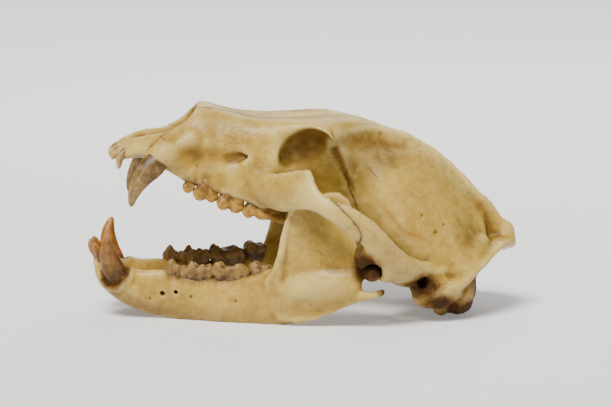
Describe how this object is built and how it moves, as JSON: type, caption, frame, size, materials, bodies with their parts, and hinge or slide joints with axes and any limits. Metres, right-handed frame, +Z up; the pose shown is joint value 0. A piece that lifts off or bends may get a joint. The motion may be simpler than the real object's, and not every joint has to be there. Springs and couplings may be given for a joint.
{
  "type": "bear skull",
  "caption": "Brown bear skull with the lower jaw open and the teeth in place, lying on its jaw and the back of its cranium.",
  "frame": {"origin": "the middle of the outer box, on the ground that the lower jaw lies on", "axes": "X runs along the skull and the nose points to -X, the animal's left side is -Y, Z is up"},
  "size_m": [0.3732, 0.2279, 0.184],
  "materials": {
    "bone": "dry old bone, cream to tan, brown in its hollows",
    "upper_canine": "brown-grey enamel with long cracks, half gloss",
    "lower_canine": "orange-brown enamel, half gloss",
    "upper_teeth": "yellow-orange stained enamel, half gloss",
    "lower_teeth": "grey-brown worn enamel, half gloss"
  },
  "bodies": {
    "root": {"cranium": "bone", "lower_canine_left": "lower_canine", "lower_canine_right": "lower_canine", "lower_incisor_1_left": "lower_teeth", "lower_incisor_1_right": "lower_teeth", "lower_incisor_2_left": "lower_teeth", "lower_incisor_2_right": "lower_teeth", "lower_incisor_3_left": "lower_teeth", "lower_incisor_3_right": "lower_teeth", "lower_jaw": "bone", "lower_molar_1_left": "lower_teeth", "lower_molar_1_right": "lower_teeth", "lower_molar_2_left": "lower_teeth", "lower_molar_2_right": "lower_teeth", "lower_molar_3_left": "lower_teeth", "lower_molar_3_right": "lower_teeth", "lower_premolar_4_left": "lower_teeth", "lower_premolar_4_right": "lower_teeth", "upper_canine_left": "upper_canine", "upper_canine_right": "upper_canine", "upper_incisor_1_left": "upper_teeth", "upper_incisor_1_right": "upper_teeth", "upper_incisor_2_left": "upper_teeth", "upper_incisor_2_right": "upper_teeth", "upper_incisor_3_left": "upper_teeth", "upper_incisor_3_right": "upper_teeth", "upper_molar_1_left": "upper_teeth", "upper_molar_1_right": "upper_teeth", "upper_molar_2_left": "upper_teeth", "upper_molar_2_right": "upper_teeth", "upper_premolar_3_left": "upper_teeth", "upper_premolar_3_right": "upper_teeth", "upper_premolar_4_left": "upper_teeth", "upper_premolar_4_right": "upper_teeth"}
  },
  "joints": []
}
